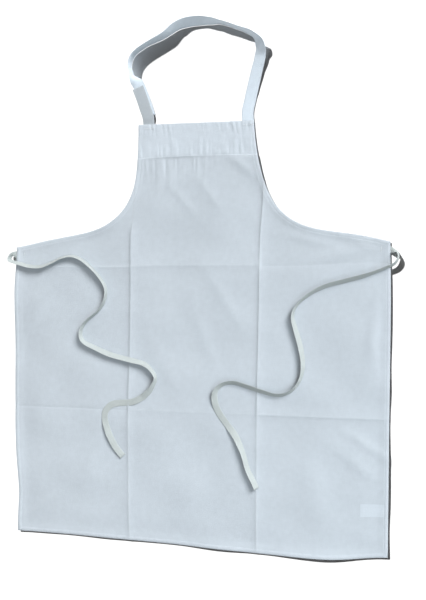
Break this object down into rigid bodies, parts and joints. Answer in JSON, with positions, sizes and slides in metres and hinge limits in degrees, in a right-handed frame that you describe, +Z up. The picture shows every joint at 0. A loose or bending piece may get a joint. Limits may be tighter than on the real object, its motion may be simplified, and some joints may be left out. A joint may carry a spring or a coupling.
{
  "type": "bib apron",
  "caption": "Plain cotton bib apron lying flat, with a neck loop closed by hook-and-loop pads, loose waist ties and turned hems.",
  "frame": {"origin": "on the ground under the middle of the rectangle that the apron covers without its waist ties, lying flat with its front up", "axes": "+Z up out of the front of the cloth, +Y along the length towards the neck loop, +X to the right of someone who looks at the front with the neck loop at the top"},
  "size_m": [0.7885, 1.0442, 0.0226],
  "materials": {
    "panel_cotton": "plain-weave cotton, pressed, matt",
    "band_cotton": "plain-weave cotton, doubled and lightly puckered",
    "hem_cotton": "turned and stitched plain-weave cotton",
    "strap_cotton": "folded and edge-stitched cotton",
    "tab_cotton": "folded and edge-stitched cotton, a greyer white",
    "tie_tape": "woven cotton twill tape",
    "hook_nylon": "woven nylon tape with fine hooks",
    "pile_nylon": "brushed nylon loop pile",
    "label_satin": "blank woven satin",
    "thread": "spun polyester sewing thread"
  },
  "bodies": {
    "apron_body": {"main_panel": "panel_cotton", "top_band": "band_cotton", "armhole_hem_left": "hem_cotton", "armhole_hem_right": "hem_cotton", "side_hem_left": "hem_cotton", "side_hem_right": "hem_cotton", "waist_tie_left_sewn_end": "tie_tape", "waist_tie_right_sewn_end": "tie_tape", "waist_tie_left": "tie_tape", "waist_tie_right": "tie_tape", "neck_strap_sewn_end": "strap_cotton", "neck_tab_sewn_end": "tab_cotton", "bar_tack_strap": "thread", "bar_tack_tab": "thread", "bar_tack_tie_left": "thread", "bar_tack_tie_right": "thread"},
    "neck_loop": {"neck_strap": "strap_cotton", "neck_tab": "tab_cotton", "hook_pad": "hook_nylon", "loop_pad": "pile_nylon"},
    "lower_fold": {"main_panel_lower": "panel_cotton", "side_hem_left_lower": "hem_cotton", "side_hem_right_lower": "hem_cotton", "bottom_hem": "hem_cotton", "care_label": "label_satin", "waist_tie_left_lower": "tie_tape", "waist_tie_right_lower": "tie_tape"}
  },
  "joints": [
    {"name": "neck_loop_lift", "type": "hinge", "parent": "apron_body", "child": "neck_loop", "pos_m": [0, 0.3196, 0.0027], "axis": [1, 0, 0], "range_deg": [0, 165]},
    {"name": "lower_third_fold", "type": "hinge", "parent": "apron_body", "child": "lower_fold", "pos_m": [0, -0.2524, 0.0038], "axis": [-1, 0, 0], "range_deg": [0, 160]}
  ]
}
